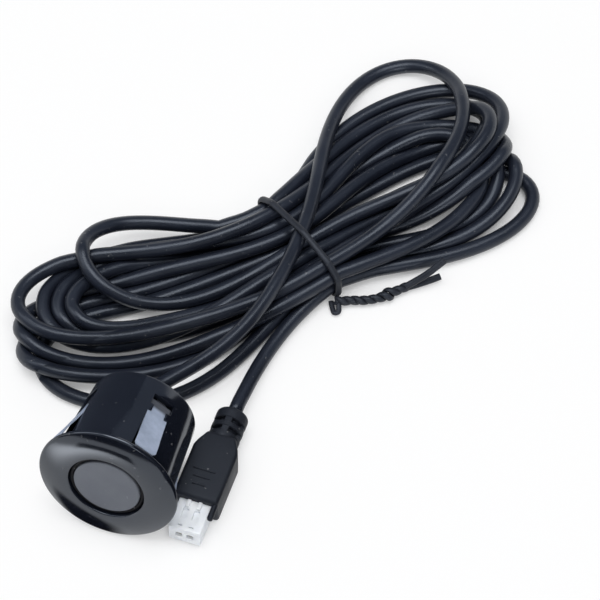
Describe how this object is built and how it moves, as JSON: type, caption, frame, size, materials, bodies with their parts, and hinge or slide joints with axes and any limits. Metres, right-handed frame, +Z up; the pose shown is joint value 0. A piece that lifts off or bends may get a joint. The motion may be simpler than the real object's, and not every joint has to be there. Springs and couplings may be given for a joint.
{
  "type": "submersible ultrasonic sensor",
  "caption": "Flanged water-tight ultrasonic probe with leaf-spring clips, on a long coaxial cable tied in a hank and ending in a small plug.",
  "frame": {"origin": "middle of the probe's footprint, on the table under it; the cable and what is on it lie beside and behind", "axes": "+Y level from the probe's face to its rear, +X to the right when looking along +Y, +Z up"},
  "size_m": [0.0838, 0.1106, 0.0245],
  "materials": {
    "housing_gloss": "polished black moulding",
    "capsule_plastic": "matt black moulding",
    "ring_rubber": "smooth black silicone",
    "can_face": "satin dark grey coat on aluminium",
    "ceramic": "fired ceramic",
    "pad_foam": "closed-cell foam",
    "terminal_board": "laminate",
    "tinned_brass": "bright tinned",
    "resin": "black cast resin",
    "spring_steel": "bright rolled strip",
    "cable_jacket": "satin black jacket",
    "tie_cover": "satin black covering",
    "hood_plastic": "fine matt black moulding",
    "connector_nylon": "milky nylon"
  },
  "bodies": {
    "probe": {"outer_housing": "housing_gloss", "capsule": "capsule_plastic", "isolating_ring": "ring_rubber", "transducer_can": "can_face", "piezo_disc": "ceramic", "damping_pad": "pad_foam", "terminal_plate": "terminal_board", "terminal_pins": "tinned_brass", "piezo_leads": "tinned_brass", "core_leads": "tinned_brass", "cable_end": "cable_jacket", "potting": "resin", "cable_boot": "ring_rubber", "cable_tail": "cable_jacket", "cable_hank": "cable_jacket", "plug_lead": "cable_jacket", "twist_tie": "tie_cover", "plug_hood": "hood_plastic", "connector_housing": "connector_nylon", "contact_left": "tinned_brass", "contact_right": "tinned_brass", "plug_wires": "cable_jacket"},
    "clip_right": {"spring_right": "spring_steel"},
    "clip_lower": {"spring_lower": "spring_steel"},
    "clip_under": {"spring_under": "spring_steel"},
    "clip_left": {"spring_left": "spring_steel"}
  },
  "joints": [
    {"name": "clip_right_flex", "type": "hinge", "parent": "probe", "child": "clip_right", "pos_m": [0.00402, 0.00753, 0.01658], "axis": [0.866, -0.0856, -0.4926], "range_deg": [0, 6], "stiffness_Nm_per_rad": 0.08},
    {"name": "clip_lower_flex", "type": "hinge", "parent": "probe", "child": "clip_lower", "pos_m": [0.00697, 0.00564, 0.00576], "axis": [-0.5, -0.1483, -0.8532], "range_deg": [0, 6], "stiffness_Nm_per_rad": 0.08},
    {"name": "clip_under_flex", "type": "hinge", "parent": "probe", "child": "clip_under", "pos_m": [-0.00402, 0.00514, 0.00285], "axis": [-0.866, 0.0856, 0.4926], "range_deg": [0, 6], "stiffness_Nm_per_rad": 0.08},
    {"name": "clip_left_flex", "type": "hinge", "parent": "probe", "child": "clip_left", "pos_m": [-0.00697, 0.00702, 0.01368], "axis": [0.5, 0.1483, 0.8532], "range_deg": [0, 6], "stiffness_Nm_per_rad": 0.08}
  ]
}
